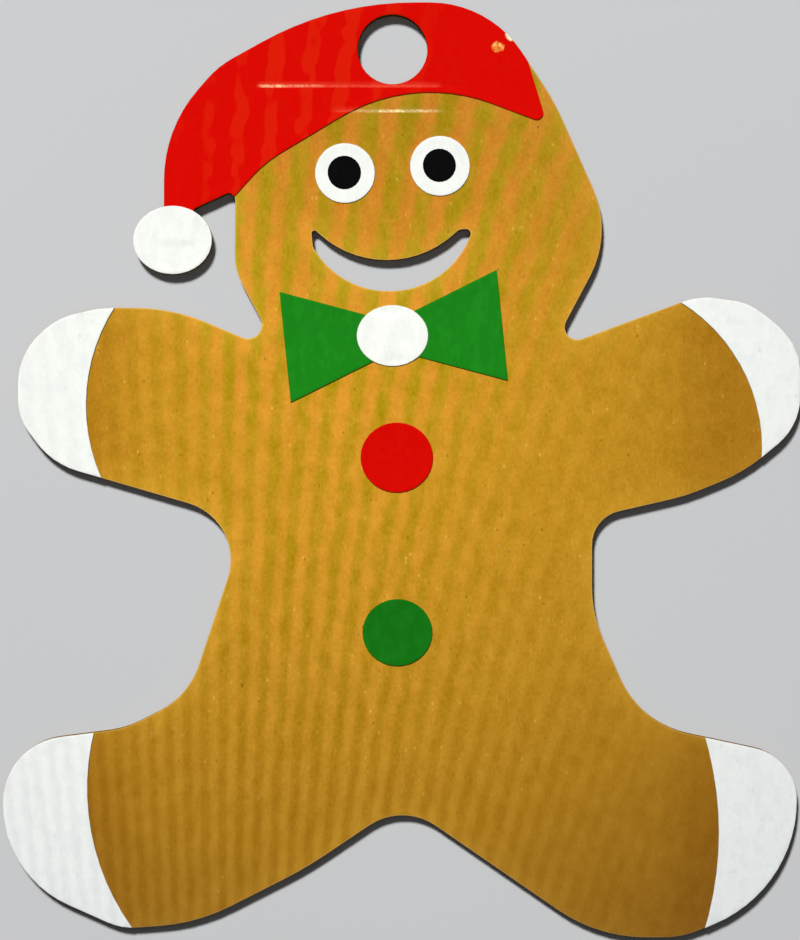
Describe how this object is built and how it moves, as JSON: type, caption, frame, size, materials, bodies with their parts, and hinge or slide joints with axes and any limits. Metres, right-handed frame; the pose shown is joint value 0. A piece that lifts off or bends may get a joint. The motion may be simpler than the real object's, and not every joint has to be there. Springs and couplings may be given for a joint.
{
  "type": "cardboard gingerbread man cut-out",
  "caption": "Flat gingerbread man cut from corrugated kraft board, with glued-on paper hat, pompom, eyes, bow tie, buttons and white hands and feet, a smile cut through and a hole to hang it by.",
  "frame": {"origin": "on the surface the figure lies on, under the middle of its outline", "axes": "+Z out of the face, +Y from the feet to the head, +X to the right as one looks at the face"},
  "size_m": [0.2552, 0.2992, 0.0048],
  "materials": {
    "kraft_board": "matt kraft paper",
    "white_paper": "matt",
    "red_paper": "slightly glossy",
    "green_paper": "matt",
    "black_paper": "matt"
  },
  "bodies": {
    "root": {"fluted_back": "kraft_board", "front_liner": "kraft_board", "hat": "red_paper", "pompom": "white_paper", "hand_cap_left": "white_paper", "hand_cap_right": "white_paper", "foot_cap_left": "white_paper", "foot_cap_right": "white_paper", "eye_white_left": "white_paper", "pupil_left": "black_paper", "eye_white_right": "white_paper", "pupil_right": "black_paper", "bow_tie": "green_paper", "bow_knot": "white_paper", "button_red": "red_paper", "button_green": "green_paper"}
  },
  "joints": []
}
